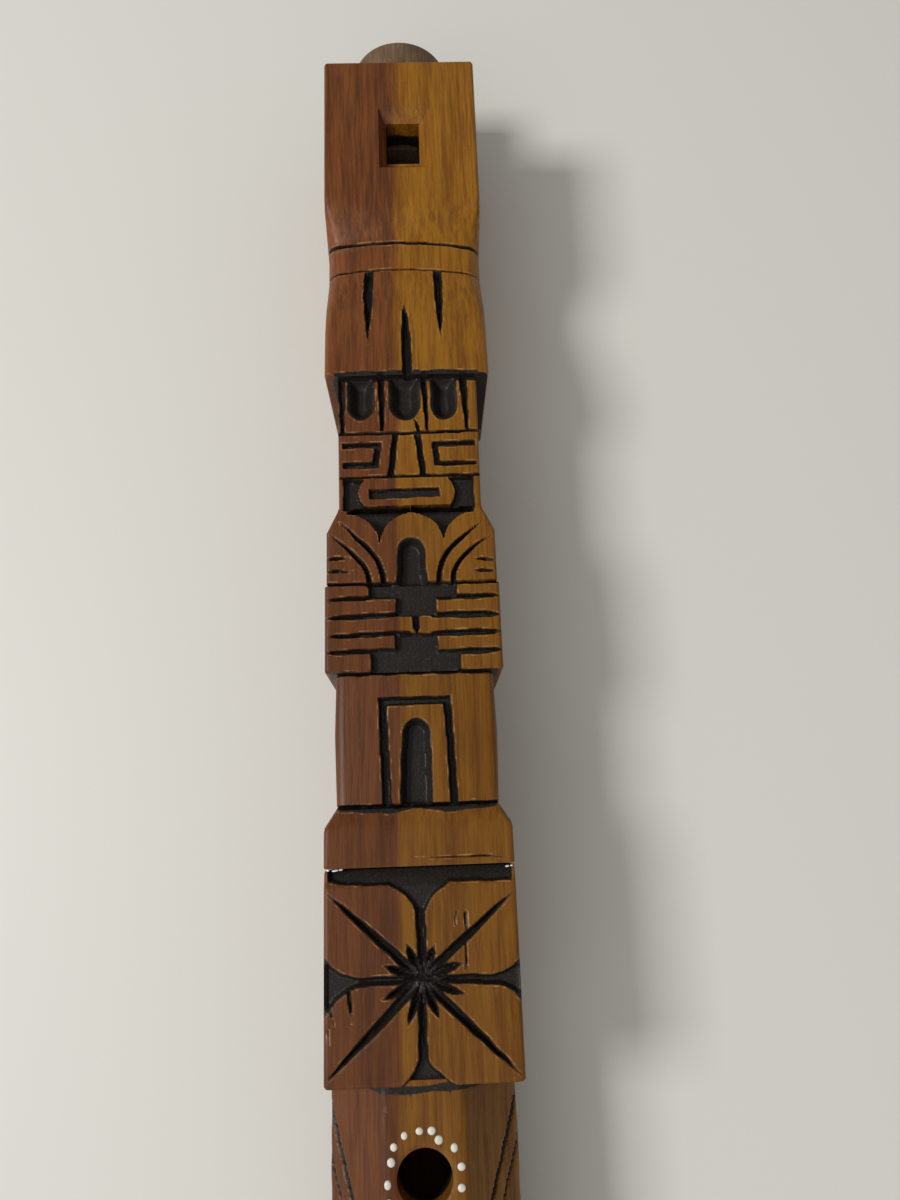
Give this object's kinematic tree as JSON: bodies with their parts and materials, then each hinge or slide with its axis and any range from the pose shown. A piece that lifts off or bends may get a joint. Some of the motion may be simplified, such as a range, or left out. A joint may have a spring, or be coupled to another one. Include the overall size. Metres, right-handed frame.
{
  "type": "tarka flute",
  "caption": "Carved wooden tarka flute: a totem-carved whistle head with a plugged mouth stub, joined by a spigot to an octagonal tube with a row of finger holes.",
  "frame": {"origin": "on the resting plane under the back, below the middle of the flute's length and width", "axes": "+Y along the flute towards the mouth end, +Z out of the carved front with the finger holes, +X across"},
  "size_m": [0.04, 0.51, 0.04],
  "materials": {
    "head_wood": "varnished, recesses painted black",
    "body_wood": "varnished, recesses painted black, white paint dots",
    "plug_wood": "raw wood"
  },
  "bodies": {
    "root": {"head_piece": "head_wood", "fipple_plug": "plug_wood", "body_tube": "body_wood"}
  },
  "joints": []
}
